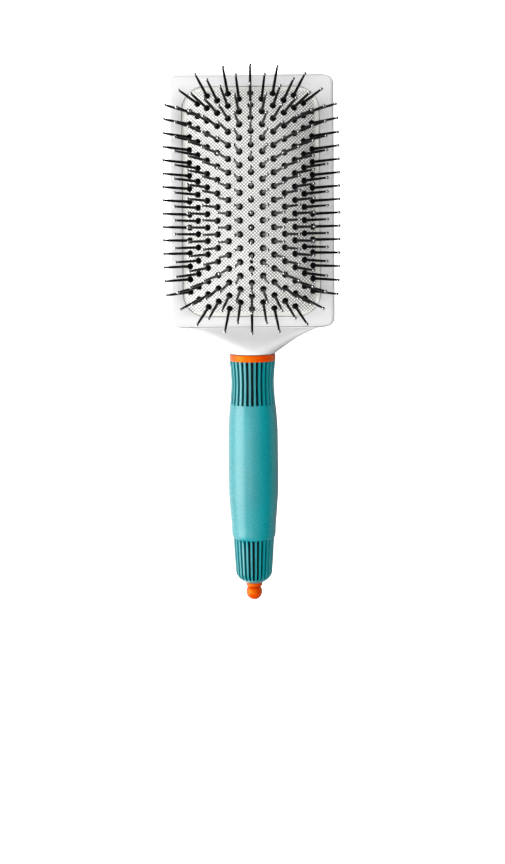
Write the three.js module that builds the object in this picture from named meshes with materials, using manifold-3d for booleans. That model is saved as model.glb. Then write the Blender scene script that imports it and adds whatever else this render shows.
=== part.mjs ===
// A cushioned paddle hair brush: a white paddle with a round neck, an air-cushion pad that carries
// 211 ball-tipped pins, an orange collar, a ribbed rubber grip, and a sectioning pick that pulls out
// of the grip's end.
// Millimetres. X runs across the paddle, +Y from the handle to the paddle's tip, +Z out of the pins.
// The origin is on the paddle's flat back, under the middle of the pad.
import * as THREE from "three";
import { mergeVertices } from "three/addons/utils/BufferGeometryUtils.js";
import Module from "manifold-3d";

// ---- Driving dimensions ----
const GAP = 0.3; // between pieces that touch on the real brush

const paddle = { tip: 64.6, halfWidth: 41.8, thickness: 12.5, floor: 2.5, tipCorner: 4.6, edge: 2.2 };
const shell = { top: 9.3, frameEnd: -62.6 }; // where the front frame meets the back shell
const neck = { start: -60.5, end: -75.9, radius: 11.2 };
const spigot = { side: 9, length: 30 };

const pad = { width: 69, length: 115.4, corner: 12, rim: 11.2, rise: 14.3, thickness: 1.2 };
const padGap = 0.4; // between the pad's edge and the front frame
const arch = { radius: 44, tailStart: 32.2 }; // of the pad's cross-section
const crown = 0.34; // how much of the rise is lost to the gentle curve along the pad
const endPower = 7.5; // how late the pad turns down towards its two ends
const bead = { low: 6, width: 2.6 };

const columnAngle = THREE.MathUtils.degToRad(7.3); // between columns, round the arch
const rowPitch = 6.74;
const rowBow = 0.0012; // the rows bow: the pitch shrinks by this share times the column number squared
const rowClosing = { after: 40, share: 0.04 }; // the rows close up where the pad turns down
const columnsEachSide = 6;
const endRows = 8; // rows of pins each side of the middle, one fewer in the outermost columns
const sideLean = 0.75; // how fast the pins' lean along the brush fades towards the pad's sides
const pin = { length: 18.6, bottom: -2.2, neck: 0.5, root: 0.72, tip: 0.5, ball: 0.8 };
const pinDome = { radius: 1.6, height: 1.7 };
const slot = { width: 2.8, pastPin: 1.6, inward: 0.6 };
const strip = { halfWidth: 0.8, top: -1.7, bottom: -2.5, pastPin: 1, straight: 34 };

const axisZ = 12.5; // height of the handle's axis
const collar = { radius: 11.5, bore: 7.5, length: 3.4 };
const grip = { top: -79.9, end: -189.6, ribs: 28, upperEnd: -101, lowerStart: -167.1, lowerEnd: -186 };
const groove = { halfFloor: 0.45, halfOpen: 0.65, upperFloor: 9.5, lowerFloor: 8.6, endFloor: 7.6 };
const core = { radius: 8.4, endRadius: 5.4, taperStart: -156, end: -188, bore: 1.9, boreTop: -116 };
const ferrule = { radius: 4.1, length: 2, stem: 3.4, stemLength: 12, bore: 2.4, bevel: 0.6 };
const knob = { ball: 4, neck: 3, stem: 1.6, stemLength: 9.5 };
const pickPin = { radius: 0.85, length: 64, socket: 6, taper: 16, point: 0.5 };
const pinClearance = 0.25; // round the pick's pin in its knob
const oRing = { radius: 0.35, fromEnd: 2.6 };
const roundSides = 32; // facets round the handle's turned pieces

// ---- Solids ----
const wasm = await Module();
wasm.setup();

// A closed geometry as a manifold-3d solid, whichever way its faces point.
function solid(geometry) {
  const bare = geometry.index ? geometry.toNonIndexed() : geometry.clone();
  bare.deleteAttribute("normal");
  bare.deleteAttribute("uv");
  const merged = mergeVertices(bare, 1e-4);
  const position = merged.attributes.position.array;
  const triVerts = new Uint32Array(merged.index.array);
  let volume = 0;
  const corner = (i) => new THREE.Vector3().fromArray(position, 3 * triVerts[i]);
  for (let i = 0; i < triVerts.length; i += 3) {
    volume += corner(i).dot(corner(i + 1).cross(corner(i + 2)));
  }
  if (volume < 0) {
    for (let i = 0; i < triVerts.length; i += 3) {
      [triVerts[i + 1], triVerts[i + 2]] = [triVerts[i + 2], triVerts[i + 1]];
    }
  }
  const vertProperties = new Float32Array(position);
  return new wasm.Manifold(new wasm.Mesh({ numProp: 3, vertProperties, triVerts }));
}

function geometryOf(made) {
  const { vertProperties, triVerts } = made.getMesh();
  const geometry = new THREE.BufferGeometry();
  geometry.setAttribute("position", new THREE.BufferAttribute(vertProperties, 3));
  geometry.setIndex(new THREE.BufferAttribute(triVerts, 1));
  return geometry;
}

// A closed skin over rings that all have the same number of points, with a flat cap at each end.
function loft(rings) {
  const count = rings[0].length;
  const positions = rings.flat(2);
  const index = [];
  for (let r = 0; r + 1 < rings.length; r++) {
    for (let i = 0; i < count; i++) {
      const a = r * count + i;
      const b = r * count + ((i + 1) % count);
      index.push(a, b, a + count, b, b + count, a + count);
    }
  }
  for (const [first, turn] of [[0, -1], [(rings.length - 1) * count, 1]]) {
    for (let i = 1; i + 1 < count; i++) {
      index.push(first, ...(turn > 0 ? [first + i, first + i + 1] : [first + i + 1, first + i]));
    }
  }
  const geometry = new THREE.BufferGeometry();
  geometry.setAttribute("position", new THREE.Float32BufferAttribute(positions, 3));
  geometry.setIndex(index);
  return geometry;
}

function roundedRectangle(width, length, corner) {
  const [w, l] = [width / 2, length / 2];
  const shape = new THREE.Shape();
  shape.moveTo(w, corner - l);
  shape.lineTo(w, l - corner);
  shape.absarc(w - corner, l - corner, corner, 0, Math.PI / 2);
  shape.absarc(corner - w, l - corner, corner, Math.PI / 2, Math.PI);
  shape.absarc(corner - w, corner - l, corner, Math.PI, 1.5 * Math.PI);
  shape.absarc(w - corner, corner - l, corner, 1.5 * Math.PI, 2 * Math.PI);
  return shape;
}

// The pad's outline, grown by an offset, between two heights.
function padPrism(offset, low, high) {
  const shape = roundedRectangle(pad.width + 2 * offset, pad.length + 2 * offset, pad.corner + offset);
  const options = { depth: high - low, bevelEnabled: false, curveSegments: 6 };
  const prism = new THREE.ExtrudeGeometry(shape, options);
  return solid(prism.translate(0, 0, low));
}

// A piece turned about the handle's axis, from [radius, y] pairs.
function turned(profile, sides = roundSides) {
  const points = profile.map(([r, y]) => new THREE.Vector2(r, y));
  return solid(new THREE.LatheGeometry(points, sides)).translate([0, 0, axisZ]);
}

function tube(outer, inner, low, high, sides) {
  return turned([[inner, low], [outer, low], [outer, high], [inner, high], [inner, low]], sides);
}

// ---- The pad's surface ----
const halfWidth = pad.width / 2;
const halfLength = pad.length / 2;
const arcDrop = (x) => arch.radius - Math.sqrt(arch.radius ** 2 - x * x);

// The share of the pad's rise that is left at a distance from its middle: a round arch with a soft
// tail to the rim crosswise, and a long flat top that turns down at its ends lengthwise.
function across(x) {
  const reach = Math.min(Math.abs(x), arch.tailStart);
  const tail = Math.min(1, (Math.abs(x) - reach) / (halfWidth - arch.tailStart));
  return (1 - arcDrop(reach) / pad.rise) * (1 - tail) ** 3;
}

function along(y) {
  const u = Math.min(1, Math.abs(y) / halfLength);
  return (1 - u ** endPower) * (1 - crown * u * u);
}

const padHeight = (x, y) => pad.rim + pad.rise * across(x) * along(y);

function alongSlope(y) {
  const step = 0.01;
  return (pad.rise * (along(y - step) - along(y + step))) / (2 * step);
}

// Where a pin leaves the pad and which way it points. Its lean fades more slowly towards the
// corners than the pad's slope does, because the stretched rubber carries its neighbours along.
function pinSeat(x, y) {
  const sideways = (x / Math.sqrt(arch.radius ** 2 - x * x)) * Math.sqrt(along(y));
  const lean = new THREE.Vector3(sideways, alongSlope(y) * across(x) ** sideLean, 1);
  return { foot: new THREE.Vector3(x, y, padHeight(x, y)), axis: lean.normalize() };
}

// ---- Where the pins stand: 13 columns, every other one set half a row aside ----
function rowYs(k) {
  const staggered = Math.abs(k) % 2 === 1;
  const rowsEachSide = Math.abs(k) === columnsEachSide ? endRows - 1 : endRows;
  const pitch = rowPitch * (1 - rowBow * k * k);
  const ys = staggered ? [] : [0];
  for (let i = 1; i <= rowsEachSide; i++) {
    const even = (staggered ? i - 0.5 : i) * pitch;
    const y = even - rowClosing.share * Math.max(0, even - rowClosing.after);
    ys.push(y, -y);
  }
  return ys.sort((a, b) => a - b);
}

const columns = [];
for (let k = -columnsEachSide; k <= columnsEachSide; k++) {
  columns.push({ x: arch.radius * Math.sin(k * columnAngle), ys: rowYs(k) });
}

// ---- Paddle ----
// Half the outline's width: [y, half width] from the tip's corner down to the round neck.
const outline = new THREE.CatmullRomCurve3(
  [
    [-57.5, 41.5], [-59.6, 41], [-61, 39.2], [-62.4, 35.6], [-64, 30.6], [-66.9, 25.8],
    [-70.6, 20.4], [-73.5, 15], [-75.1, 12.3], [neck.end, neck.radius],
  ].map(([y, half]) => new THREE.Vector3(half, y, 0)),
  false,
  "centripetal",
);

const smooth = (t) => t * t * (3 - 2 * t);

// One cross-section: a rectangle with round corners, which `round` turns into the neck's circle.
function paddleRing(y, half, low, high, round) {
  const middle = (high - low) / 2;
  const cornerX = THREE.MathUtils.lerp(paddle.edge, half, round);
  const cornerZ = THREE.MathUtils.lerp(Math.min(paddle.edge, middle - 0.1), middle, round);
  const steps = 4;
  const ring = [];
  for (let quarter = 0; quarter < 4; quarter++) {
    const sideX = quarter === 0 || quarter === 3 ? 1 : -1;
    const sideZ = quarter < 2 ? 1 : -1;
    for (let i = 0; i < steps; i++) {
      const a = ((quarter + (i + 0.5) / steps) * Math.PI) / 2;
      const x = sideX * (half - cornerX) + cornerX * Math.cos(a);
      const z = (sideZ > 0 ? high - cornerZ : low + cornerZ) + cornerZ * Math.sin(a);
      ring.push([x, y, z]);
    }
  }
  return ring;
}

// The whole white moulding as one outer skin, before it is split into frame and back shell.
function paddleSkin() {
  const rings = [];
  for (const share of [0, 0.35, 0.7, 1]) {
    const turn = (share * Math.PI) / 2; // rounds the tip's two corners and its end face
    const shrink = paddle.tipCorner * (1 - Math.sin(turn));
    const edge = paddle.edge * (1 - Math.sin(turn));
    const y = paddle.tip - paddle.tipCorner * (1 - Math.cos(turn));
    rings.push(paddleRing(y, paddle.halfWidth - shrink, edge, paddle.thickness - edge, 0));
  }
  for (const { x, y } of outline.getPoints(24)) {
    const blend = smooth(THREE.MathUtils.clamp((neck.start - y) / (neck.start - neck.end), 0, 1));
    const low = THREE.MathUtils.lerp(0, axisZ - neck.radius, blend);
    const high = THREE.MathUtils.lerp(paddle.thickness, axisZ + neck.radius, blend);
    rings.push(paddleRing(y, x, low, high, blend));
  }
  return solid(loft(rings));
}

function block(width, length, height, x, y, z) {
  return solid(new THREE.BoxGeometry(width, length, height).translate(x, y, z));
}

// The front part of the skin, above the level where the two mouldings meet.
function frontCut(low, end) {
  const [width, height] = [100, 20];
  const length = paddle.tip + 10 - end;
  return block(width, length, height, 0, end + length / 2, low + height / 2);
}

function frontFrame() {
  return paddleSkin().intersect(frontCut(shell.top + GAP, shell.frameEnd)).subtract(padPrism(0, 0, 20));
}

function backShell() {
  const tangLength = spigot.length + 2;
  const tangMiddle = neck.end - spigot.length + tangLength / 2;
  const tang = block(spigot.side, tangLength, spigot.side, 0, tangMiddle, axisZ);
  const beadGroove = padPrism(bead.width + 2 * GAP, bead.low - GAP, shell.top + 1);
  return paddleSkin()
    .subtract(frontCut(shell.top, shell.frameEnd - GAP))
    .add(tang)
    .subtract(padPrism(0, paddle.floor, paddle.thickness + 2))
    .subtract(beadGroove);
}

// The pad's anchored edge: a rubber bead in the groove under the front frame.
function cushionBead() {
  const outer = padPrism(bead.width + GAP, bead.low, shell.top);
  return outer.subtract(padPrism(GAP, bead.low - 1, shell.top + 1));
}

// ---- Cushion pad ----
function padSlab() {
  const inner = columns.map((column) => column.x);
  const xs = [-halfWidth, -arch.tailStart, ...inner, arch.tailStart, halfWidth];
  const half = [20, 34, 41, 45, 48.5, 51.5, 54, 56, halfLength];
  const ys = [...half.map((y) => -y).reverse(), 0, ...half];
  const rings = ys.map((y) => {
    const top = xs.map((x) => [x, y, padHeight(x, y)]);
    const low = xs.map((x) => {
      const slope = Math.hypot(alongSlope(y) * across(x), x / arch.radius, 1);
      return [x, y, padHeight(x, y) - pad.thickness * slope];
    });
    return [...top, ...low.reverse()];
  });
  return solid(loft(rings));
}

// The rubber pad, with one long slot for each column of pins.
function cushionPad() {
  let made = padSlab().intersect(padPrism(-padGap, 0, 40));
  for (const { x, ys } of columns) {
    const length = 2 * (ys[ys.length - 1] + slot.pastPin);
    const middle = x - (slot.inward * x) / arch.radius;
    made = made.subtract(block(slot.width, length, 60, middle, 0, 0));
  }
  return made;
}

// ---- Pins ----
function pinSolid(x, y) {
  const { foot, axis } = pinSeat(x, y);
  const ballAt = pin.length - pin.ball;
  const profile = [
    [0, pin.bottom], [pin.neck, pin.bottom], [pin.neck, GAP], [pinDome.radius, GAP],
    [pin.root, pinDome.height], [pin.tip, ballAt - pin.ball], [pin.ball, ballAt], [0, pin.length],
  ].map(([r, h]) => new THREE.Vector2(r, h));
  const turn = new THREE.Quaternion().setFromUnitVectors(new THREE.Vector3(0, 0, 1), axis);
  const geometry = new THREE.LatheGeometry(profile, 4).rotateX(Math.PI / 2).applyQuaternion(turn);
  return solid(geometry.translate(foot.x, foot.y, foot.z));
}

// The thin strip under the pad that holds one column's pins in line.
function carrierStrip({ x, ys }) {
  const last = ys[ys.length - 1] + strip.pastPin;
  const bends = ys.filter((y, i) => Math.abs(y) > strip.straight || i % 2 === 0);
  const rings = [-last, ...bends, last].map((y) => {
    const { foot, axis } = pinSeat(x, y);
    const side = new THREE.Vector3(0, 1, 0).cross(axis).normalize();
    const corners = [[-1, strip.top], [1, strip.top], [1, strip.bottom], [-1, strip.bottom]];
    return corners.map(([s, h]) =>
      foot.clone().addScaledVector(side, s * strip.halfWidth).addScaledVector(axis, h).toArray(),
    );
  });
  return solid(loft(rings));
}

function pinColumn(column) {
  return column.ys.reduce((made, y) => made.add(pinSolid(column.x, y)), carrierStrip(column));
}

// ---- Collar, core and grip ----
function collarRing() {
  const top = neck.end - GAP;
  return tube(collar.radius, collar.bore, top - collar.length, top);
}

function coreRadius(y) {
  const t = THREE.MathUtils.clamp((core.taperStart - y) / (core.taperStart - core.end), 0, 1);
  return THREE.MathUtils.lerp(core.radius, core.endRadius, t);
}

// A round hole up the handle's axis from its end.
function bore(radius, top, sides) {
  const low = core.end - 1;
  return turned([[0, low], [radius, low], [radius, top], [0, top]], sides);
}

function handleCore() {
  const body = turned([
    [0, core.end], [core.endRadius, core.end], [core.radius, core.taperStart],
    [core.radius, grip.top], [0, grip.top],
  ]);
  const socketEnd = neck.end - spigot.length - GAP;
  const socketDepth = grip.top + 1 - socketEnd;
  const socketSide = spigot.side + 2 * GAP;
  return body
    .subtract(block(socketSide, socketDepth, socketSide, 0, socketEnd + socketDepth / 2, axisZ))
    .subtract(bore(core.bore, core.boreTop, 12))
    .subtract(bore(ferrule.stem + GAP, ferruleTop + GAP, 16));
}

// The grip's outline from the collar to its rounded end: [radius, y].
const gripOutline = [
  [11.4, grip.top], [10.6, -88.4], [11.1, -99.6], [11.7, -103.6], [12.4, -114], [12.4, -143],
  [11.6, -154], [10.7, -166.6], [10.1, -168], [9.2, -184], [8.9, -186], [7.9, -187.3], [6.3, -188.7],
  [4.9, grip.end],
];

// Cutters for the grooves between the ribs of the grip's two ribbed lengths.
function ribCutters() {
  const lengths = [
    { from: grip.top + 1, to: grip.upperEnd, floorFrom: groove.upperFloor, floorTo: groove.upperFloor },
    { from: grip.lowerStart, to: grip.lowerEnd, floorFrom: groove.lowerFloor, floorTo: groove.endFloor },
  ];
  const outside = 13;
  const cutters = [];
  for (const { from, to, floorFrom, floorTo } of lengths) {
    const rings = [[from, floorFrom], [to, floorTo]].map(([y, floor]) => [
      [-groove.halfFloor, y, floor], [groove.halfFloor, y, floor],
      [groove.halfOpen, y, outside], [-groove.halfOpen, y, outside],
    ]);
    for (let i = 0; i < grip.ribs; i++) {
      const cutter = loft(rings).rotateY((2 * Math.PI * i) / grip.ribs);
      cutters.push(solid(cutter.translate(0, 0, axisZ)));
    }
  }
  return cutters;
}

function gripSleeve() {
  const hole = ferrule.stem + GAP;
  const wall = core.end - GAP;
  const inner = [
    [hole, grip.end], [hole, wall], [coreRadius(wall) + GAP, wall], [core.radius + GAP, core.taperStart],
    [core.radius + GAP, grip.top], gripOutline[0],
  ];
  const sleeve = turned([...gripOutline, ...inner], grip.ribs);
  return ribCutters().reduce((made, cutter) => made.subtract(cutter), sleeve);
}

// ---- End ferrule and pick ----
const ferruleFace = grip.end - GAP; // where its flange meets the grip
const ferruleTop = ferruleFace + ferrule.stemLength;
const knobTop = ferruleFace - ferrule.length - GAP;
const stemTop = knobTop + knob.stemLength;
const oRingAt = stemTop - oRing.fromEnd;

function endFerrule() {
  const low = ferruleFace - ferrule.length;
  return turned([
    [ferrule.bore, low], [ferrule.radius - ferrule.bevel, low], [ferrule.radius, low + ferrule.bevel],
    [ferrule.radius, ferruleFace], [ferrule.stem, ferruleFace], [ferrule.stem, ferruleTop],
    [ferrule.bore, ferruleTop], [ferrule.bore, low],
  ], 20);
}

// A ball with a short neck, and a stem that runs up inside the ferrule and holds the pin.
function pickKnob() {
  const neckAngle = Math.asin(knob.neck / knob.ball);
  const centre = knobTop - knob.ball * Math.cos(neckAngle);
  const profile = [[0, centre - knob.ball]];
  const steps = 8;
  for (let i = 1; i <= steps; i++) {
    const a = Math.PI - (i / steps) * (Math.PI - neckAngle);
    profile.push([knob.ball * Math.sin(a), centre + knob.ball * Math.cos(a)]);
  }
  const seat = knob.stem - oRing.radius;
  const [seatLow, seatTop] = [oRingAt - 2 * oRing.radius, oRingAt + 2 * oRing.radius];
  profile.push([knob.stem, knobTop], [knob.stem, seatLow], [seat, seatLow]);
  profile.push([seat, seatTop], [knob.stem, seatTop], [knob.stem, stemTop], [0, stemTop]);
  const holeRadius = pickPin.radius + pinClearance;
  const [holeLow, holeTop] = [stemTop - pickPin.socket, stemTop + 1];
  const hole = turned([[0, holeLow], [holeRadius, holeLow], [holeRadius, holeTop], [0, holeTop]], 10);
  return turned(profile, 20).subtract(hole);
}

function pickSteelPin() {
  const low = stemTop - pickPin.socket + GAP;
  const high = low + pickPin.length;
  const r = pickPin.radius;
  const { taper, point } = pickPin;
  return turned([[0, low], [r, low], [r, high - taper], [point, high - point], [0, high]], 10);
}

function pickORing() {
  const ring = new THREE.TorusGeometry(knob.stem + GAP, oRing.radius, 6, 16);
  return solid(ring.rotateX(Math.PI / 2).translate(0, oRingAt, axisZ));
}

// ---- Assembly ----
const finishes = {
  white: new THREE.MeshStandardMaterial({ color: 0xf1f1f3, roughness: 0.3, metalness: 0 }),
  rubberGrey: new THREE.MeshStandardMaterial({ color: 0xd8d6cf, roughness: 0.6, metalness: 0 }),
  black: new THREE.MeshStandardMaterial({ color: 0x141519, roughness: 0.35, metalness: 0 }),
  orange: new THREE.MeshStandardMaterial({ color: 0xf06a10, roughness: 0.3, metalness: 0 }),
  teal: new THREE.MeshStandardMaterial({ color: 0x2fb1b0, roughness: 0.55, metalness: 0 }),
  plainPlastic: new THREE.MeshStandardMaterial({ color: 0x2b3133, roughness: 0.6, metalness: 0 }),
  steel: new THREE.MeshStandardMaterial({ color: 0xb9bcc0, roughness: 0.3, metalness: 1 }),
};

const brush = new THREE.Group();

function addPiece(name, made, finish) {
  const mesh = new THREE.Mesh(geometryOf(made), finish);
  mesh.name = name;
  brush.add(mesh);
}

addPiece("back_shell", backShell(), finishes.white);
addPiece("front_frame", frontFrame(), finishes.white);
addPiece("cushion_bead", cushionBead(), finishes.rubberGrey);
addPiece("cushion_pad", cushionPad(), finishes.rubberGrey);
columns.forEach((column, i) => {
  addPiece(`pin_column_${String(i + 1).padStart(2, "0")}`, pinColumn(column), finishes.black);
});
addPiece("collar_ring", collarRing(), finishes.orange);
addPiece("handle_core", handleCore(), finishes.plainPlastic);
addPiece("grip_sleeve", gripSleeve(), finishes.teal);
addPiece("end_ferrule", endFerrule(), finishes.orange);
addPiece("pick_knob", pickKnob(), finishes.orange);
addPiece("pick_pin", pickSteelPin(), finishes.steel);
addPiece("pick_o_ring", pickORing(), finishes.black);

export default brush;
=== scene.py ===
import math

import bmesh
import bpy
import numpy as np
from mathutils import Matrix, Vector


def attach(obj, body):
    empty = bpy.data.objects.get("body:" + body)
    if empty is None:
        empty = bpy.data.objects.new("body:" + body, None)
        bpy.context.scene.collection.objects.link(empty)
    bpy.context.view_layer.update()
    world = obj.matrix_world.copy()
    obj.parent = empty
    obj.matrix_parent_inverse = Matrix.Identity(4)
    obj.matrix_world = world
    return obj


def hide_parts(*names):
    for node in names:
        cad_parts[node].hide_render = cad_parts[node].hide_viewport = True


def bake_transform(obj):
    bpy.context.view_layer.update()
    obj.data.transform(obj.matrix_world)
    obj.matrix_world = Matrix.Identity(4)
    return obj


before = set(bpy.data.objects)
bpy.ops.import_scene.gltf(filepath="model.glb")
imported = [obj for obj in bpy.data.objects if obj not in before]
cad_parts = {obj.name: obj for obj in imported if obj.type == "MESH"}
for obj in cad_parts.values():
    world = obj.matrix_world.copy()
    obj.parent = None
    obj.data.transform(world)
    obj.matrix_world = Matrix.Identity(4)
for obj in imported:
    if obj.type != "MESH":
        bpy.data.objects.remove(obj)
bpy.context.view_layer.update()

MM = 0.001
ROOT = "handle_and_paddle"

# ---- Sizes, in millimetres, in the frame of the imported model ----
PADDLE_TIP = 64.6
PADDLE_THICK = 12.5
TIP_HALF_WIDTH = 41.8
TIP_CORNER = 4.6
TIP_ARCH = 1.0  # how far the tip's edge falls back towards its corners
EDGE = 2.2  # radius of the paddle's long edges
SHELL_TOP = 9.35
FRAME_LOW = 9.55
FRAME_END = -62.6
POCKET_FLOOR = 2.5
NECK_START = -60.5
NECK_END = -75.9
NECK_RADIUS = 11.2
AXIS_Z = 12.5
OUTLINE = [
    (-57.5, 41.5), (-60.2, 41.2), (-62.0, 40.0), (-62.9, 37.6), (-63.8, 32.0), (-65.8, 27.4),
    (-68.4, 22.0), (-70.9, 18.2), (-73.2, 14.9), (-74.8, 12.5), (-75.9, 11.2),
]

PAD_HALF_WIDTH = 34.5
PAD_HALF_LENGTH = 57.7
PAD_CORNER = 12.0
PAD_RIM = 11.2
PAD_RISE = 14.3
PAD_SKIN = 1.2
BEAD_REACH = 2.9  # how far the pad's anchored edge runs out under the front frame
BEAD_LOW = 6.1
GROOVE_REACH = 3.2  # the groove in the back shell that takes it
PAD_GAP = 0.24
ARCH_RADIUS = 44.0
ARCH_TAIL = 32.2
CROWN = 0.34
END_POWER = 7.5
VENT_Y = -30.3  # the small air hole between two pins of the middle column
VENT_RADIUS = 0.95
RIM_BLEND = 2.4  # how far in from its outline the pad stays close to the rim

MESH_PITCH = 1.2  # across one diagonal run of the diamond mesh
PLAIN_BAND = 2.4
PAD_LIGHT = (0.95, 0.945, 0.92)
# painted shade: the diamond mesh's low lines are coloured near black for the shade in its hollows
PAD_MESH_SHADE = (0.10, 0.098, 0.09)
PAD_PLAIN = (0.68, 0.675, 0.635)

COLUMNS_EACH_SIDE = 6
COLUMN_ANGLE = math.radians(7.3)
ROW_PITCH = 6.74
ROW_BOW = 0.0012  # share of the pitch lost, times the column number squared
ROW_CLOSING_AFTER = 40.0
ROW_CLOSING = 0.04
SIDE_LEAN = 0.75  # how fast the lean along the brush fades towards the sides
PIN_LENGTH = 18.6
PIN_BALL = 0.76
PIN_DOME = 1.64  # radius of a pin's domed foot
PIN_DOME_HEIGHT = 1.35
PIN_SHANK = [(0.78, 1.6), (0.75, 3.0), (0.69, 8.0), (0.61, 13.0), (0.52, 16.8)]

COLLAR_TOP = -76.2
COLLAR_END = -79.6
COLLAR_RADIUS = 11.5
GRIP_TOP = -79.9
GRIP_END = -189.6
GRIP_OUTLINE = [
    (-79.9, 11.4), (-84.9, 10.9), (-89.6, 10.65), (-95.0, 10.8), (-99.8, 11.2), (-103.6, 11.65),
    (-108.2, 12.05), (-114.2, 12.35), (-122.0, 12.4), (-143.0, 12.4), (-149.4, 12.05), (-155.2, 11.6),
    (-161.2, 11.1), (-166.3, 10.8), (-167.3, 10.45), (-168.3, 10.2), (-176.6, 9.65), (-182.0, 9.25),
    (-185.7, 8.9), (-187.3, 7.9), (-188.7, 6.3), (-189.6, 4.9),
]
GRIP_HOLE = 4.9  # radius of the grip's flat end face
GRIP_INSIDE = [(3.75, GRIP_END), (3.75, -188.35), (5.6, -188.35), (8.7, -156.0), (8.7, GRIP_TOP)]
RIBS = 28
RIB_PHASE = math.radians(5.5)
RIB_ZONES = [(-79.4, -101.0), (-167.2, -187.6)]
GROOVE_DEPTH = 2.0
FERRULE_TOP = GRIP_END - 0.3
FERRULE_LOW = FERRULE_TOP - 2.0
# the stored groove depth drives painted shade: the grip's colour runs to near black on the grooves'
# floors
GROOVE_ATTRIBUTE = "groove_depth"


# ---- Mesh helpers ----
def make_piece(name, points, faces, material, smooth_angle=None):
    """A mesh object from points in millimetres; faces of no area are dropped and normals face out."""
    mesh = bpy.data.meshes.new(name)
    mesh.from_pydata([tuple(c * MM for c in p) for p in points], [], faces)
    work = bmesh.new()
    work.from_mesh(mesh)
    bmesh.ops.remove_doubles(work, verts=work.verts, dist=1e-7)
    bmesh.ops.dissolve_degenerate(work, dist=1e-8, edges=work.edges)
    bmesh.ops.recalc_face_normals(work, faces=work.faces)
    work.to_mesh(mesh)
    work.free()
    piece = bpy.data.objects.new(name, mesh)
    bpy.context.scene.collection.objects.link(piece)
    mesh.materials.append(material)
    shade(piece, smooth_angle)
    return piece


def shade(piece, angle=None):
    """Smooth shading, with edges sharper than the angle kept crisp."""
    mesh = piece.data
    mesh.polygons.foreach_set("use_smooth", [True] * len(mesh.polygons))
    if angle is None:
        return
    work = bmesh.new()
    work.from_mesh(mesh)
    for edge in work.edges:
        edge.smooth = not (edge.is_manifold and edge.calc_face_angle(0) > angle)
    work.to_mesh(mesh)
    work.free()


def loft(rings, close_ends=True):
    """Points and faces of a skin over rings with the same number of points."""
    count = len(rings[0])
    points = [p for ring in rings for p in ring]
    faces = []
    for r in range(len(rings) - 1):
        for i in range(count):
            j = (i + 1) % count
            a = r * count
            faces.append((a + i, a + j, a + count + j, a + count + i))
    if close_ends:
        faces.append(tuple(range(count - 1, -1, -1)))
        faces.append(tuple(range(len(points) - count, len(points))))
    return points, faces


def turned_piece(name, profile, material, sides=96, smooth_angle=math.radians(40)):
    """A closed piece turned about the handle's axis, from (radius, y) pairs.

    The pairs either form a loop or start and end on the axis.
    """
    rings = []
    for radius, y in profile:
        ring = []
        for i in range(sides):
            a = 2 * math.pi * i / sides
            ring.append((radius * math.sin(a), y, AXIS_Z + radius * math.cos(a)))
        rings.append(ring)
    points, faces = loft(rings, close_ends=False)
    return make_piece(name, points, faces, material, smooth_angle)


def arc(centre, radius, start, end, steps):
    """Points (radius, y) on a circle about a centre, between two angles in degrees."""
    result = []
    for i in range(steps + 1):
        a = math.radians(start + (end - start) * i / steps)
        result.append((centre[0] + radius * math.cos(a), centre[1] + radius * math.sin(a)))
    return result


def smoothstep(t):
    t = min(1.0, max(0.0, t))
    return t * t * (3 - 2 * t)


def spline(table, steps):
    """A centripetal Catmull-Rom curve through a table of (y, value) pairs, in falling y."""
    points = [np.array(pair, float) for pair in table]
    points = [2 * points[0] - points[1]] + points + [2 * points[-1] - points[-2]]
    result = []
    for k in range(1, len(points) - 2):
        p = points[k - 1:k + 3]
        t = [0.0]
        for i in range(3):
            t.append(t[-1] + math.sqrt(float(np.linalg.norm(p[i + 1] - p[i]))))
        for s in range(steps):
            u = t[1] + (t[2] - t[1]) * s / steps
            a = [(t[i + 1] - u) / (t[i + 1] - t[i]) * p[i] + (u - t[i]) / (t[i + 1] - t[i]) * p[i + 1]
                 for i in range(3)]
            b = [(t[i + 2] - u) / (t[i + 2] - t[i]) * a[i] + (u - t[i]) / (t[i + 2] - t[i]) * a[i + 1]
                 for i in range(2)]
            c = (t[2] - u) / (t[2] - t[1]) * b[0] + (u - t[1]) / (t[2] - t[1]) * b[1]
            result.append((float(c[0]), float(c[1])))
    result.append(tuple(table[-1]))
    return result


# ---- The pad's surface and the pins' places ----
def arch_drop(x):
    return ARCH_RADIUS - math.sqrt(ARCH_RADIUS ** 2 - x * x)


def across(x):
    reach = min(abs(x), ARCH_TAIL)
    tail = min(1.0, (abs(x) - reach) / (PAD_HALF_WIDTH - ARCH_TAIL))
    return (1 - arch_drop(reach) / PAD_RISE) * (1 - tail) ** 3


def along(y):
    u = min(1.0, abs(y) / PAD_HALF_LENGTH)
    return (1 - u ** END_POWER) * (1 - CROWN * u * u)


def along_slope(y):
    step = 0.01
    return PAD_RISE * (along(y - step) - along(y + step)) / (2 * step)


def rim_distance(x, y):
    """How far a point is inside the pad's rounded outline."""
    dx = abs(x) - (PAD_HALF_WIDTH - PAD_CORNER)
    dy = abs(y) - (PAD_HALF_LENGTH - PAD_CORNER)
    if dx > 0 and dy > 0:
        return PAD_CORNER - math.hypot(dx, dy)
    return PAD_CORNER - max(dx, dy)


def pad_height(x, y):
    return PAD_RIM + PAD_RISE * across(x) * along(y) * smoothstep(rim_distance(x, y) / RIM_BLEND)


def pin_seat(x, y):
    """Where a pin leaves the pad, and the way it points."""
    sideways = x / math.sqrt(ARCH_RADIUS ** 2 - x * x) * math.sqrt(along(y))
    lean = Vector((sideways, along_slope(y) * across(x) ** SIDE_LEAN, 1))
    return Vector((x, y, PAD_RIM + PAD_RISE * across(x) * along(y))), lean.normalized()


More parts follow.
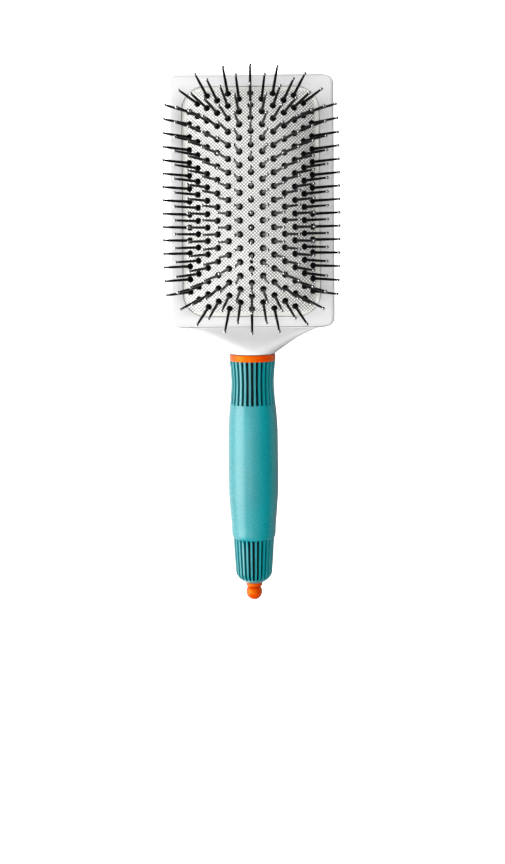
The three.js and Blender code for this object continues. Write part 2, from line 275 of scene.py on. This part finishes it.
def row_ys(k):
    staggered = k % 2 == 1
    rows_each_side = 7 if abs(k) == COLUMNS_EACH_SIDE else 8
    pitch = ROW_PITCH * (1 - ROW_BOW * k * k)
    ys = [] if staggered else [0.0]
    for i in range(1, rows_each_side + 1):
        even = (i - 0.5 if staggered else i) * pitch
        y = even - ROW_CLOSING * max(0.0, even - ROW_CLOSING_AFTER)
        ys += [y, -y]
    return sorted(ys)


# ---- Materials ----
def new_material(name):
    material = bpy.data.materials.new(name)
    material.use_nodes = True
    nodes = material.node_tree.nodes
    return material, nodes, material.node_tree.links, nodes["Principled BSDF"]


def object_coordinates(nodes):
    return nodes.new("ShaderNodeTexCoord").outputs["Object"]


def noise(nodes, links, coordinates, scale, detail=2.0):
    node = nodes.new("ShaderNodeTexNoise")
    node.inputs["Scale"].default_value = scale
    node.inputs["Detail"].default_value = detail
    links.new(coordinates, node.inputs["Vector"])
    return node.outputs["Fac"]


def ramp(nodes, links, value, stops):
    node = nodes.new("ShaderNodeValToRGB")
    elements = node.color_ramp.elements
    elements[0].position, elements[0].color = stops[0][0], (*stops[0][1], 1)
    elements[1].position, elements[1].color = stops[-1][0], (*stops[-1][1], 1)
    for position, color in stops[1:-1]:
        elements.new(position).color = (*color, 1)
    links.new(value, node.inputs["Fac"])
    return node.outputs["Color"]


def math_node(nodes, links, operation, *values):
    node = nodes.new("ShaderNodeMath")
    node.operation = operation
    for i, value in enumerate(values):
        if isinstance(value, (int, float)):
            node.inputs[i].default_value = value
        else:
            links.new(value, node.inputs[i])
    return node.outputs[0]


def add_bump(nodes, links, shader, height, distance):
    node = nodes.new("ShaderNodeBump")
    node.inputs["Distance"].default_value = distance
    node.inputs["Strength"].default_value = 1.0
    links.new(height, node.inputs["Height"])
    links.new(node.outputs["Normal"], shader.inputs["Normal"])


def moulded_plastic(name, dark, light, roughness, gloss=0.5, tint=(1, 1, 1), mottling=45.0):
    """Moulded plastic: a faint cloudiness in its colour and a slow ripple in its gloss."""
    material, nodes, links, shader = new_material(name)
    coordinates = object_coordinates(nodes)
    cloud = noise(nodes, links, coordinates, mottling)
    links.new(ramp(nodes, links, cloud, [(0.3, dark), (0.7, light)]), shader.inputs["Base Color"])
    fine = noise(nodes, links, coordinates, 900.0, 4.0)
    rough = math_node(nodes, links, "MULTIPLY_ADD", fine, 0.08, roughness - 0.04)
    links.new(rough, shader.inputs["Roughness"])
    shader.inputs["Specular IOR Level"].default_value = gloss
    shader.inputs["Specular Tint"].default_value = (*tint, 1)
    add_bump(nodes, links, shader, noise(nodes, links, coordinates, 160.0, 1.0), 0.00002)
    return material


def soft_rubber(name, dark, light, roughness, gloss=0.5, groove=None):
    """Soft-touch rubber with a fine grain from the mould, and painted shade deep in the grooves."""
    material, nodes, links, shader = new_material(name)
    coordinates = object_coordinates(nodes)
    cloud = noise(nodes, links, coordinates, 60.0, 3.0)
    color = ramp(nodes, links, cloud, [(0.3, dark), (0.7, light)])
    # painted shade: the colour runs to near black with the stored groove depth
    if groove:
        depth = nodes.new("ShaderNodeAttribute")
        depth.attribute_name = GROOVE_ATTRIBUTE
        mix = nodes.new("ShaderNodeMix")
        mix.data_type = "RGBA"
        links.new(depth.outputs["Fac"], mix.inputs["Factor"])
        links.new(color, mix.inputs["A"])
        mix.inputs["B"].default_value = (*groove, 1)
        color = mix.outputs["Result"]
    links.new(color, shader.inputs["Base Color"])
    grain = noise(nodes, links, coordinates, 3500.0, 2.0)
    rough = math_node(nodes, links, "MULTIPLY_ADD", grain, 0.12, roughness - 0.06)
    if groove:
        rough = math_node(nodes, links, "MULTIPLY_ADD", depth.outputs["Fac"], 0.5, rough)
    links.new(rough, shader.inputs["Roughness"])
    shader.inputs["Specular IOR Level"].default_value = gloss
    add_bump(nodes, links, shader, grain, 0.00003)
    return material


def cushion_rubber(name):
    """Ivory rubber with a raised diamond mesh, its low lines painted dark as shade, plain in a band
    inside the rim.
    """
    material, nodes, links, shader = new_material(name)
    coordinates = object_coordinates(nodes)
    split = nodes.new("ShaderNodeSeparateXYZ")
    links.new(coordinates, split.inputs[0])
    x, y = split.outputs["X"], split.outputs["Y"]
    turns = 2 * math.pi / (MESH_PITCH * MM)
    waves = []
    for operation in ("ADD", "SUBTRACT"):
        diagonal = math_node(nodes, links, operation, x, y)
        phase = math_node(nodes, links, "MULTIPLY", diagonal, turns / math.sqrt(2))
        waves.append(math_node(nodes, links, "COSINE", phase))
    mesh = math_node(nodes, links, "MAXIMUM", *waves)
    mesh = math_node(nodes, links, "MULTIPLY_ADD", mesh, 0.5, 0.5)
    meshed = meshed_area(nodes, links, x, y)
    cloud = noise(nodes, links, coordinates, 80.0, 3.0)
    tone = math_node(nodes, links, "MULTIPLY_ADD", cloud, 0.15, -0.075)
    tone = math_node(nodes, links, "ADD", tone, mesh)
    # painted shade along the mesh's low lines
    stops = [(0.0, PAD_LIGHT), (0.7, PAD_LIGHT), (1.0, PAD_MESH_SHADE)]
    mix = nodes.new("ShaderNodeMix")
    mix.data_type = "RGBA"
    mix.inputs["A"].default_value = (*PAD_PLAIN, 1)
    links.new(meshed, mix.inputs["Factor"])
    links.new(ramp(nodes, links, tone, stops), mix.inputs["B"])
    links.new(mix.outputs["Result"], shader.inputs["Base Color"])
    shader.inputs["Roughness"].default_value = 0.5
    lines = math_node(nodes, links, "MULTIPLY", mesh, meshed)
    height = math_node(nodes, links, "MULTIPLY", lines, -1.0)
    add_bump(nodes, links, shader, height, 0.00018)
    return material


def meshed_area(nodes, links, x, y):
    """1 inside the meshed area of the pad, 0 in the plain band round its edge."""
    masks = []
    for value, half in ((x, PAD_HALF_WIDTH - PLAIN_BAND), (y, PAD_HALF_LENGTH - PLAIN_BAND)):
        size = math_node(nodes, links, "ABSOLUTE", value)
        node = nodes.new("ShaderNodeMapRange")
        node.inputs["From Min"].default_value = (half - 0.3) * MM
        node.inputs["From Max"].default_value = (half + 0.3) * MM
        node.inputs["To Min"].default_value = 1.0
        node.inputs["To Max"].default_value = 0.0
        links.new(size, node.inputs["Value"])
        masks.append(node.outputs["Result"])
    return math_node(nodes, links, "MULTIPLY", *masks)


def brushed_steel(name):
    material, nodes, links, shader = new_material(name)
    coordinates = object_coordinates(nodes)
    stretch = nodes.new("ShaderNodeMapping")
    stretch.inputs["Scale"].default_value = (9000.0, 60.0, 9000.0)
    links.new(coordinates, stretch.inputs["Vector"])
    lines = noise(nodes, links, stretch.outputs["Vector"], 1.0, 2.0)
    color = ramp(nodes, links, lines, [(0.2, (0.5, 0.5, 0.51)), (0.8, (0.66, 0.66, 0.67))])
    links.new(color, shader.inputs["Base Color"])
    shader.inputs["Metallic"].default_value = 1.0
    links.new(math_node(nodes, links, "MULTIPLY_ADD", lines, 0.2, 0.18), shader.inputs["Roughness"])
    return material


def ball_tip_black(name):
    """A denser, far glossier black for the ball tips."""
    dark, light = (0.004, 0.004, 0.005), (0.008, 0.008, 0.010)
    material = moulded_plastic(name, dark, light, 0.2, 1.0, mottling=300.0)
    material.node_tree.nodes["Principled BSDF"].inputs["IOR"].default_value = 4.0
    return material


pearl_white = moulded_plastic(
    "pearl_white", dark=(0.53, 0.531, 0.536), light=(0.56, 0.561, 0.566), roughness=0.32
)
pin_black = moulded_plastic(
    "pin_black", dark=(0.0008, 0.0008, 0.001), light=(0.0015, 0.0015, 0.002),
    roughness=0.22, gloss=0.13, mottling=300.0,
)
tip_black = ball_tip_black("pin_tip_black")
orange = moulded_plastic(
    "orange_gloss", dark=(0.50, 0.034, 0.0), light=(0.56, 0.045, 0.0),
    roughness=0.31, gloss=1.0, tint=(1.0, 0.75, 0.03),
)
# the near-black groove colour is painted shade in the grip's grooves
teal = soft_rubber(
    "teal_soft_touch", dark=(0.0, 0.195, 0.215), light=(0.0, 0.22, 0.245),
    roughness=0.28, gloss=0.9, groove=(0.0, 0.004, 0.007),
)
cushion_ivory = cushion_rubber("cushion_ivory")
core_grey = moulded_plastic("core_plastic", (0.03, 0.035, 0.036), (0.045, 0.05, 0.052), 0.6)
o_ring_black = soft_rubber("o_ring_rubber", (0.012, 0.012, 0.012), (0.02, 0.02, 0.02), 0.6)
pick_steel = brushed_steel("pick_steel")


# ---- Paddle ----
def paddle_ring(y, half, low, high, round_share, slope):
    """One cross-section: a rectangle with round corners, turned by round_share into a circle."""
    corner_x = min(half, EDGE * math.hypot(1, slope))
    corner_x += (half - corner_x) * round_share
    corner_z = EDGE + ((high - low) / 2 - EDGE) * round_share
    steps = 10
    ring = []
    for quarter, (side_x, side_z) in enumerate([(1, 1), (-1, 1), (-1, -1), (1, -1)]):
        for i in range(steps + 1):
            a = (quarter + i / steps) * math.pi / 2
            x = side_x * (half - corner_x) + corner_x * math.cos(a)
            z = (high - corner_z if side_z > 0 else low + corner_z) + corner_z * math.sin(a)
            ring.append((x, y, z))
    return ring


def fall(distance, radius):
    """How far a rounded edge has fallen at a distance in from its face."""
    if distance >= radius:
        return 0.0
    return radius - math.sqrt(radius ** 2 - (radius - distance) ** 2)


def paddle_rings():
    rings = []
    for share in [0.0, 0.03, 0.1, 0.2, 0.33, 0.5, 0.7, 0.85, 1.0]:
        inward = TIP_CORNER * share
        half = TIP_HALF_WIDTH - fall(inward, TIP_CORNER)
        drop = fall(inward, EDGE)
        rings.append(paddle_ring(PADDLE_TIP - inward, half, drop, PADDLE_THICK - drop, 0, 0))
    for y in np.linspace(PADDLE_TIP - TIP_CORNER - 3, OUTLINE[0][0] + 3, 30):
        share = (PADDLE_TIP - TIP_CORNER - y) / (PADDLE_TIP - TIP_CORNER - OUTLINE[0][0])
        half = TIP_HALF_WIDTH + (OUTLINE[0][1] - TIP_HALF_WIDTH) * share
        rings.append(paddle_ring(float(y), half, 0, PADDLE_THICK, 0, 0))
    curve = spline(OUTLINE, 8)
    for i, (y, half) in enumerate(curve):
        before, after = curve[max(0, i - 1)], curve[min(len(curve) - 1, i + 1)]
        slope = (after[1] - before[1]) / (after[0] - before[0])
        blend = smoothstep((NECK_START - y) / (NECK_START - NECK_END))
        low = (AXIS_Z - NECK_RADIUS) * blend
        high = PADDLE_THICK + (AXIS_Z + NECK_RADIUS - PADDLE_THICK) * blend
        round_share = min(blend, 0.9999)  # a full circle would fold the corners' end points together
        rings.append(paddle_ring(y, half, low, high, round_share, slope))
    return rings


def arch_tip(points):
    """Bends the tip's edge into a slight arch."""
    start = 40
    bent = []
    for x, y, z in points:
        share = max(0.0, (y - start) / (PADDLE_TIP - start))
        bent.append((x, y - TIP_ARCH * (x / TIP_HALF_WIDTH) ** 2 * share, z))
    return bent


def rounded_outline(offset, steps=14):
    """The pad's outline, grown by an offset, as (x, y) points."""
    half_x, half_y = PAD_HALF_WIDTH + offset, PAD_HALF_LENGTH + offset
    corner = PAD_CORNER + offset
    result = []
    for quarter, (sx, sy) in enumerate([(1, 1), (-1, 1), (-1, -1), (1, -1)]):
        for i in range(steps + 1):
            a = (quarter + i / steps) * math.pi / 2
            x = sx * (half_x - corner) + corner * math.cos(a)
            y = sy * (half_y - corner) + corner * math.sin(a)
            result.append((x, y))
    return result


def outline_prism(levels):
    """A cutter over the pad's outline, from (offset, z) levels."""
    rings = [[(x, y, z) for x, y in rounded_outline(offset)] for offset, z in levels]
    return loft(rings)


def box_points(low, high):
    ring = [(low[0], low[1]), (high[0], low[1]), (high[0], high[1]), (low[0], high[1])]
    return loft([[(x, y, z) for x, y in ring] for z in (low[2], high[2])])


def carve(piece, points, faces, operation):
    """One exact boolean on a piece, applied at once."""
    tool = make_piece("tool", points, faces, pearl_white)
    modifier = piece.modifiers.new("carve", "BOOLEAN")
    modifier.object = tool
    modifier.operation = operation
    modifier.solver = "EXACT"
    bpy.context.view_layer.update()
    carved = piece.evaluated_get(bpy.context.evaluated_depsgraph_get())
    mesh = bpy.data.meshes.new_from_object(carved)
    piece.modifiers.clear()
    piece.data = mesh
    bpy.data.objects.remove(tool)


def build_paddle():
    points, faces = loft(paddle_rings())
    points = arch_tip(points)
    front = make_piece("paddle_front", points, faces, pearl_white)
    back = make_piece("paddle_back", points, faces, pearl_white)
    far = (60, 80, 60)  # beyond the paddle on every side
    above = 20
    seam = FRAME_LOW - SHELL_TOP
    carve(front, *box_points((-far[0], FRAME_END, FRAME_LOW), far), "INTERSECT")
    lip = 0.2
    opening = [
        (0, 0), (0, PADDLE_THICK - lip), (0.05, PADDLE_THICK - 0.07),
        (lip, PADDLE_THICK + 0.02), (lip, above),
    ]
    carve(front, *outline_prism(opening), "DIFFERENCE")
    carve(back, *box_points((-far[0], FRAME_END - seam, SHELL_TOP), far), "DIFFERENCE")
    carve(back, *outline_prism([(0, POCKET_FLOOR), (0, above)]), "DIFFERENCE")
    carve(back, *outline_prism([(GROOVE_REACH, BEAD_LOW - 0.4), (GROOVE_REACH, above)]), "DIFFERENCE")
    for piece, node in ((front, "front_frame"), (back, "back_shell")):
        shade(piece, math.radians(35))
        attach(piece, ROOT)
        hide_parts(node)


# ---- Cushion ----
def pad_grid_point(u, v):
    """A point of the square grid, pulled in where the outline's corners are round."""
    core_x, core_y = PAD_HALF_WIDTH - PAD_CORNER, PAD_HALF_LENGTH - PAD_CORNER
    x, y = abs(u), abs(v)
    if x > core_x and y > core_y:
        a, b = (x - core_x) / PAD_CORNER, (y - core_y) / PAD_CORNER
        x = core_x + PAD_CORNER * a * math.sqrt(1 - b * b / 2)
        y = core_y + PAD_CORNER * b * math.sqrt(1 - a * a / 2)
    return math.copysign(x, u), math.copysign(y, v)


def grid_lines(half, corner, inner, outer):
    """Places of the grid's lines from -half to half, closer together near the rim."""
    core = np.linspace(0, half - corner, inner)
    edge = half - corner + corner * np.sin(np.linspace(0, math.pi / 2, outer))[1:]
    positive = np.concatenate([core, edge])
    return np.concatenate([-positive[:0:-1], positive])


def pad_top(us, vs):
    """The dome's top as a grid of points and faces."""
    columns = len(us)
    points = []
    for v in vs:
        for u in us:
            x, y = pad_grid_point(u, v)
            points.append((x, y, pad_height(x, y)))
    faces = []
    for j in range(len(vs) - 1):
        for i in range(columns - 1):
            a = j * columns + i
            faces.append((a, a + 1, a + columns + 1, a + columns))
    return points, faces


def grid_border(rows, columns):
    """The grid's outermost points, in order round the pad."""
    border = list(range(columns))
    border += [j * columns + columns - 1 for j in range(1, rows)]
    border += [(rows - 1) * columns + i for i in range(columns - 2, -1, -1)]
    border += [j * columns for j in range(rows - 2, 0, -1)]
    return border


def outward_directions(ring):
    """The level direction away from the pad at each point of a ring."""
    result = []
    for i in range(len(ring)):
        a, b = ring[i - 1], ring[(i + 1) % len(ring)]
        tangent = Vector((b[0] - a[0], b[1] - a[1], 0)).normalized()
        result.append(Vector((tangent.y, -tangent.x, 0)))
    return result


def add_skirt(points, faces, border):
    """Takes the pad's side down, out into the bead and back in under the dome; returns its last ring."""
    bead_edge = PAD_GAP + BEAD_REACH
    skirt = [
        (0.02, 11.05), (0.0, 10.6), (0.0, 8.75), (bead_edge, 8.6), (bead_edge, BEAD_LOW),
        (PAD_GAP + 0.4, BEAD_LOW), (-PAD_SKIN, 7.6), (-PAD_SKIN, 9.4),
    ]
    rim = [points[i] for i in border]
    outward = outward_directions(rim)
    count = len(border)
    last = border
    for offset, z in skirt:
        start = len(points)
        for corner, away in zip(rim, outward):
            points.append((corner[0] + away.x * offset, corner[1] + away.y * offset, z))
        ring = list(range(start, start + count))
        for i in range(count):
            j = (i + 1) % count
            faces.append((last[i], ring[i], ring[j], last[j]))
        last = ring
    return last


def add_underside(points, faces, rows, columns, border, inner_ring):
    """Repeats the top's grid a skin's thickness lower, joined to the skirt's inner ring."""
    below = dict(zip(border, inner_ring))
    for j in range(1, rows - 1):
        for i in range(1, columns - 1):
            x, y, z = points[j * columns + i]
            below[j * columns + i] = len(points)
            points.append((x * 0.985, y * 0.99, z - PAD_SKIN * 1.15))
    for j in range(rows - 1):
        for i in range(columns - 1):
            a = j * columns + i
            faces.append((below[a], below[a + columns], below[a + columns + 1], below[a + 1]))


def carve_vent(pad):
    ring = []
    for a in np.linspace(0, 2 * math.pi, 25)[1:]:
        ring.append((VENT_RADIUS * math.cos(a), VENT_Y + VENT_RADIUS * math.sin(a)))
    levels = (PAD_RIM + 8, PAD_RIM + PAD_RISE + 4)
    carve(pad, *loft([[(x, y, z) for x, y in ring] for z in levels]), "DIFFERENCE")


def build_cushion():
    us = grid_lines(PAD_HALF_WIDTH - PAD_GAP, PAD_CORNER, 22, 18)
    vs = grid_lines(PAD_HALF_LENGTH - PAD_GAP, PAD_CORNER, 42, 18)
    rows, columns = len(vs), len(us)
    points, faces = pad_top(us, vs)
    border = grid_border(rows, columns)
    inner_ring = add_skirt(points, faces, border)
    add_underside(points, faces, rows, columns, border, inner_ring)
    pad = make_piece("cushion_dome", points, faces, cushion_ivory)
    carve_vent(pad)
    shade(pad, math.radians(50))
    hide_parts("cushion_pad", "cushion_bead")
    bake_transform(pad)


# ---- Pins ----
def pin_profile():
    """(radius, height above the pad) of one pin, from its seat in the rubber to its ball tip."""
    foot = 0.05  # height at which the domed foot is widest
    shoulder = 0.8  # radius at which the dome meets the shank
    profile = [(0.0, -1.3), (0.8, -1.3), (1.0, -0.6), (PIN_DOME - 0.06, -0.25), (PIN_DOME, foot)]
    for i in range(1, 6):
        a = math.radians(90 * i / 6)
        radius = shoulder + (PIN_DOME - shoulder) * math.cos(a)
        profile.append((radius, foot + PIN_DOME_HEIGHT * math.sin(a)))
    profile += PIN_SHANK
    centre = PIN_LENGTH - PIN_BALL
    for i in range(1, 8):
        a = math.radians(-50 + 140 * i / 8)
        profile.append((PIN_BALL * math.cos(a), centre + PIN_BALL * math.sin(a)))
    profile.append((0.0, PIN_LENGTH))
    return profile


def pin_rings(profile, foot, axis, sides):
    """The profile's rings round one pin's axis."""
    side = Vector((0, 1, 0)).cross(axis).normalized()
    front = axis.cross(side)
    rings = []
    for radius, height in profile:
        centre = foot + axis * height
        ring = []
        for i in range(sides):
            a = 2 * math.pi * i / sides
            ring.append(tuple(centre + radius * (math.cos(a) * side + math.sin(a) * front)))
        rings.append(ring)
    return rings


def paint_tips(pins, balls):
    """Gives the faces of the ball tips their own, glossier material."""
    for face in pins.data.polygons:
        nearest = min((face.center / MM - ball).length for ball in balls)
        face.material_index = int(nearest < 1.05 * PIN_BALL)


def build_pins():
    profile = pin_profile()
    for index in range(2 * COLUMNS_EACH_SIDE + 1):
        k = index - COLUMNS_EACH_SIDE
        x = ARCH_RADIUS * math.sin(k * COLUMN_ANGLE)
        points, faces, balls = [], [], []
        for y in row_ys(k):
            foot, axis = pin_seat(x, y)
            balls.append(foot + axis * (PIN_LENGTH - PIN_BALL))
            pin_points, pin_faces = loft(pin_rings(profile, foot, axis, 18), close_ends=False)
            start = len(points)
            points += pin_points
            faces += [tuple(start + i for i in face) for face in pin_faces]
        name = f"pins_{index + 1:02d}"
        pins = make_piece(f"ball_tipped_{name}", points, faces, pin_black, math.radians(60))
        pins.data.materials.append(tip_black)
        paint_tips(pins, balls)
        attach(pins, name)
        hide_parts(f"pin_column_{index + 1:02d}")


# ---- Handle ----
GRIP_CURVE = spline(GRIP_OUTLINE, 4)
GRIP_DEPTHS = [-y for y, _ in GRIP_CURVE]
GRIP_RADII = [radius for _, radius in GRIP_CURVE]


def build_collar():
    soft, bore = 0.45, 7.6
    profile = [(bore, COLLAR_END), (COLLAR_RADIUS - soft, COLLAR_END)]
    profile += arc((COLLAR_RADIUS - soft, COLLAR_END + soft), soft, -90, 0, 5)
    profile += arc((COLLAR_RADIUS - soft, COLLAR_TOP - soft), soft, 0, 90, 5)
    profile += [(bore, COLLAR_TOP), (bore, COLLAR_END)]
    collar = turned_piece("collar", profile, orange)
    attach(collar, ROOT)
    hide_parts("collar_ring")


def groove_share(p):
    """How deep a groove is at a place across one rib pitch: 1 on its floor, 0 on the rib."""
    half_width, wall = 0.29, 0.05
    return smoothstep((half_width - abs(p - 0.5)) / wall)


def zone_share(y):
    """1 inside the ribbed lengths of the grip, falling to 0 over their ends."""
    share = 0.0
    for top, low in RIB_ZONES:
        share = max(share, min(smoothstep((top - y) / 0.3), smoothstep((y - low) / 0.5)))
    return share


def grip_stations():
    """Where the grip's rings stand: along its outline, and closely at both ends of the grooves."""
    ys = {round(y, 4) for y, _ in GRIP_CURVE}
    for top, low in RIB_ZONES:
        for step in (0.1, 0, -0.08, -0.15, -0.22, -0.3, -0.5):
            ys.add(round(top + step, 4))
        for step in (0.7, 0.5, 0.36, 0.25, 0.14, 0, -0.15):
            ys.add(round(low + step, 4))
    return sorted(ys, reverse=True)


def grip_radius(y):
    """The grip's outer radius, read off its outline."""
    return float(np.interp(-y, GRIP_DEPTHS, GRIP_RADII))


def mark_grooves(grip):
    """Stores how deep in a groove each point lies, for the rubber's painted shade and rougher finish in
    the grooves.
    """
    depths = grip.data.attributes.new(GROOVE_ATTRIBUTE, "FLOAT", "POINT")
    for vertex in grip.data.vertices:
        x, y, z = vertex.co / MM
        below = grip_radius(y) - math.hypot(x, z - AXIS_Z)
        depths.data[vertex.index].value = smoothstep(below / GROOVE_DEPTH)


def build_grip():
    across_pitch = [0.0, 0.07, 0.14, 0.185, 0.21, 0.225, 0.245, 0.26, 0.285, 0.36, 0.43, 0.5]
    across_pitch += [1 - p for p in across_pitch[-2:0:-1]]
    angles = [2 * math.pi * (rib + p) / RIBS + RIB_PHASE for rib in range(RIBS) for p in across_pitch]
    shares = [groove_share(p) for p in across_pitch] * RIBS
    rings = []
    for y in grip_stations():
        radius = grip_radius(y)
        depth = min(GROOVE_DEPTH, radius - GRIP_HOLE) * zone_share(y)
        ring = []
        for angle, share in zip(angles, shares):
            r = radius - depth * share
            ring.append((r * math.sin(angle), y, AXIS_Z + r * math.cos(angle)))
        rings.append(ring)
    for radius, y in GRIP_INSIDE:
        rings.append([(radius * math.sin(a), y, AXIS_Z + radius * math.cos(a)) for a in angles])
    rings.append(rings[0])
    points, faces = loft(rings, close_ends=False)
    grip = make_piece("grip", points, faces, teal, math.radians(38))
    mark_grooves(grip)
    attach(grip, ROOT)
    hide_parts("grip_sleeve")


def build_ferrule():
    stem, stem_length, bore = 3.4, 12, 2.4
    top_soft, low_soft = 0.35, 0.6
    profile = [(bore, FERRULE_LOW), (3.3, FERRULE_LOW)]
    profile += arc((3.45, FERRULE_LOW + low_soft), low_soft, -90, 0, 5)
    profile += arc((3.75, FERRULE_TOP - top_soft), top_soft, 0, 90, 4)
    profile += [(stem, FERRULE_TOP), (stem, FERRULE_TOP + stem_length)]
    profile += [(bore, FERRULE_TOP + stem_length), (bore, FERRULE_LOW)]
    ferrule = turned_piece("end_collar", profile, orange, 64)
    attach(ferrule, ROOT)
    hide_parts("end_ferrule")


def build_knob():
    """The ball and its stem, with the O-ring's seat and the socket for the steel pin."""
    top = FERRULE_LOW - 0.3
    ball, neck = 4.0, 2.9
    centre = top - 2.65
    ball_turn = 126  # degrees of the ball's outline, up to where the neck takes over
    profile = [(0.0, centre - ball)]
    for i in range(1, 23):
        a = math.radians(-90 + ball_turn * i / 22)
        profile.append((ball * math.cos(a), centre + ball * math.sin(a)))
    profile += [(neck + 0.1, centre + 2.52), (neck - 0.05, top)]
    stem, seat, socket, socket_depth = 1.6, 1.25, 1.12, 6
    seat_low, seat_top, stem_top = top + 6.2, top + 7.6, top + 9.5
    profile += [(stem, top), (stem, seat_low), (seat, seat_low), (seat, seat_top)]
    profile += [(stem, seat_top), (stem, stem_top), (socket, stem_top)]
    profile += [(socket, stem_top - socket_depth), (0.0, stem_top - socket_depth)]
    knob = turned_piece("pick_ball", profile, orange, 64)
    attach(knob, "sectioning_pick")
    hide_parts("pick_knob")


def finish_cad_nodes():
    for node, material in (
        ("handle_core", core_grey),
        ("pick_pin", pick_steel),
        ("pick_o_ring", o_ring_black),
    ):
        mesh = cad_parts[node].data
        mesh.materials.clear()
        mesh.materials.append(material)


# ---- Camera, floor and light ----
CAMERA_HEIGHT = 500.0  # above the plane of the paddle's face
CAMERA_Y = -32.0
CAMERA_ROLL = -0.0082  # the brush leans a little in the picture
SENSOR = 36.0
CAMERA_SHIFT = (0.001, -0.1928)
FOCAL_LENGTH = 1000  # in the frame's own units, of which it is 864 high
FRAME_HEIGHT = 864
BOUNCE_LEFT = 0.9  # how much light the table throws back up on the key lamp's side
BOUNCE_RIGHT = 0.25
LIGHT_TARGET = (0.0, -0.06, 0.01)
STAGE_FAR = 3.0  # metres from the middle of the stage to its walls
STAGE_WHITE = (0.8, 0.9)  # base colour and glow of the floor and walls
FLOOR_HEIGHT = -0.2
BOUNCE_HEIGHT = -0.6
WORLD_LIGHT = 0.04
LAMPS = [  # name, place and size in metres, brightness, whether reflections show it
    ("key", (-1.22, -0.18, 0.47), (1.3, 1.3), 4.4, True),
    ("overhead", (-0.32, -0.28, 0.76), (0.45, 0.42), 1.2, True),
    ("soft_top", (-0.12, -0.05, 1.08), (1.2, 1.2), 3.75, False),
    ("tip_fill", (0.1, 0.75, 0.85), (1.3, 0.5), 1.6, False),
    ("knob_fill", (0.1, -0.85, 0.85), (1.3, 0.5), 1.6, False),
]


def build_camera():
    data = bpy.data.cameras.new("camera")
    camera = bpy.data.objects.new("camera", data)
    bpy.context.scene.collection.objects.link(camera)
    bpy.context.scene.camera = camera
    camera.location = (0.0, CAMERA_Y * MM, (CAMERA_HEIGHT + PADDLE_THICK) * MM)
    camera.rotation_euler = (0.0, 0.0, CAMERA_ROLL)
    data.sensor_width = SENSOR
    data.lens = SENSOR * FOCAL_LENGTH / FRAME_HEIGHT
    data.shift_x, data.shift_y = CAMERA_SHIFT
    data.clip_start, data.clip_end = 0.01, 10


def area_light(name, place, size, radiance, in_reflections):
    """A soft rectangular lamp aimed at the brush; its power follows from how bright its face is."""
    data = bpy.data.lights.new(name, "AREA")
    data.shape = "RECTANGLE"
    data.size, data.size_y = size
    data.energy = math.pi * size[0] * size[1] * radiance
    light = bpy.data.objects.new(name, data)
    light.location = place
    aim = Vector(LIGHT_TARGET) - Vector(place)
    light.rotation_euler = aim.to_track_quat("-Z", "Y").to_euler()
    light.visible_glossy = in_reflections
    bpy.context.scene.collection.objects.link(light)


def stage_sheets(name, corners, faces, albedo, emission=0.0):
    """Plain matt sheets of the stage, from corners in metres."""
    mesh = bpy.data.meshes.new(name)
    mesh.from_pydata(corners, [], faces)
    sheets = bpy.data.objects.new(name, mesh)
    bpy.context.scene.collection.objects.link(sheets)
    material, _, _, shader = new_material(name)
    shader.inputs["Base Color"].default_value = (albedo, albedo, albedo, 1)
    shader.inputs["Roughness"].default_value = 1.0
    shader.inputs["Specular IOR Level"].default_value = 0.0
    shader.inputs["Emission Color"].default_value = (1, 1, 1, 1)
    shader.inputs["Emission Strength"].default_value = emission
    mesh.materials.append(material)
    return sheets


def level_corners(left, right, height):
    """Corners of a level rectangle as deep as the stage, in metres."""
    ring = [(left, -STAGE_FAR), (right, -STAGE_FAR), (right, STAGE_FAR), (left, STAGE_FAR)]
    return [(x, y, height) for x, y in ring]


def build_stage():
    # The white floor and walls that the camera sees light nothing themselves. Under the floor lie
    # two sheets that throw light back up, more of it on the key lamp's side.
    base = level_corners(-STAGE_FAR, STAGE_FAR, FLOOR_HEIGHT * MM)
    floor = stage_sheets("floor", base, [(0, 1, 2, 3)], *STAGE_WHITE)
    corners = base + level_corners(-STAGE_FAR, STAGE_FAR, STAGE_FAR)
    sides = [(i, (i + 1) % 4, (i + 1) % 4 + 4, i + 4) for i in range(4)]
    walls = stage_sheets("walls", corners, sides, *STAGE_WHITE)
    for sheet in (floor, walls):
        sheet.visible_diffuse = False
        sheet.visible_glossy = False
        sheet.visible_shadow = False
    for side, left, right, albedo in (
        ("left", -STAGE_FAR, 0.0, BOUNCE_LEFT),
        ("right", 0.0, STAGE_FAR, BOUNCE_RIGHT),
    ):
        corners = level_corners(left, right, BOUNCE_HEIGHT * MM)
        bounce = stage_sheets(f"floor_bounce_{side}", corners, [(0, 1, 2, 3)], albedo)
        bounce.visible_camera = False

    world = bpy.data.worlds.new("world")
    bpy.context.scene.world = world
    world.use_nodes = True
    background = world.node_tree.nodes["Background"]
    background.inputs["Color"].default_value = (1, 1, 1, 1)
    background.inputs["Strength"].default_value = WORLD_LIGHT
    for lamp in LAMPS:
        area_light(*lamp)
    bpy.context.scene.view_settings.view_transform = "Standard"


build_camera()
build_stage()
build_paddle()
build_cushion()
build_pins()
build_collar()
build_grip()
build_ferrule()
build_knob()
finish_cad_nodes()
